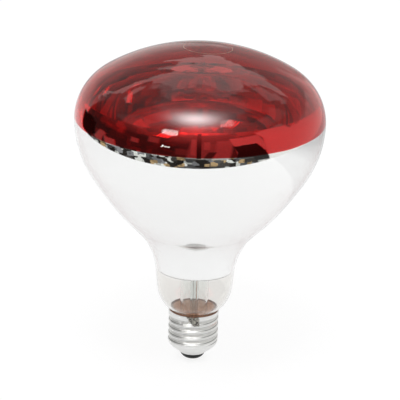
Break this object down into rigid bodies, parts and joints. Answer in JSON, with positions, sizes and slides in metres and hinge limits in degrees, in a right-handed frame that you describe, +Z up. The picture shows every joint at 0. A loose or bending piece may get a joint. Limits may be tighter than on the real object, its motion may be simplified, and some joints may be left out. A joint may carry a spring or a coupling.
{
  "type": "infrared reflector heat lamp bulb",
  "caption": "Infrared heat lamp bulb: blown reflector envelope with an inside mirror and a red transparent face, lit by a ring filament on a glass stem, on a screw cap.",
  "frame": {"origin": "on the lamp's axis at the foot of the centre contact, at the bottom of the screw cap", "axes": "+Z up the lamp's axis from the cap through the red face; -Y towards the side of the cap that carries the solder"},
  "size_m": [0.1272, 0.1272, 0.1685],
  "materials": {
    "clear_glass": "clear polished glass",
    "red_glass_coat": "transparent red filter lacquer, gloss",
    "mirror_film": "vacuum-deposited aluminium mirror",
    "stem_glass": "clear lead-glass tube and rod",
    "tungsten": "drawn tungsten, dark grey",
    "nickel_wire": "bright nickel wire",
    "molybdenum_wire": "drawn molybdenum, grey",
    "copper_wire": "copper-clad wire",
    "cap_aluminium": "bright rolled aluminium sheet",
    "cement": "matt brown baked cement",
    "black_glass": "black moulded insulating glass",
    "contact_brass": "pressed brass plate",
    "solder": "rough dull grey solder with burnt flux"
  },
  "bodies": {
    "root": {"envelope": "clear_glass", "reflector_coating": "mirror_film", "red_filter_coat": "red_glass_coat", "stem_flare": "stem_glass", "exhaust_tube": "stem_glass", "support_rod": "stem_glass", "filament": "tungsten", "inner_lead_left": "nickel_wire", "inner_lead_right": "nickel_wire", "seal_wire_left": "copper_wire", "seal_wire_right": "copper_wire", "centre_lead": "copper_wire", "side_lead": "copper_wire", "cap_shell": "cap_aluminium", "cap_cement": "cement", "cap_insulator": "black_glass", "centre_contact": "contact_brass", "centre_solder": "solder", "side_solder": "solder", "support_wire_1": "molybdenum_wire", "support_wire_2": "molybdenum_wire", "support_wire_3": "molybdenum_wire", "support_wire_4": "molybdenum_wire", "support_wire_5": "molybdenum_wire"}
  },
  "joints": []
}
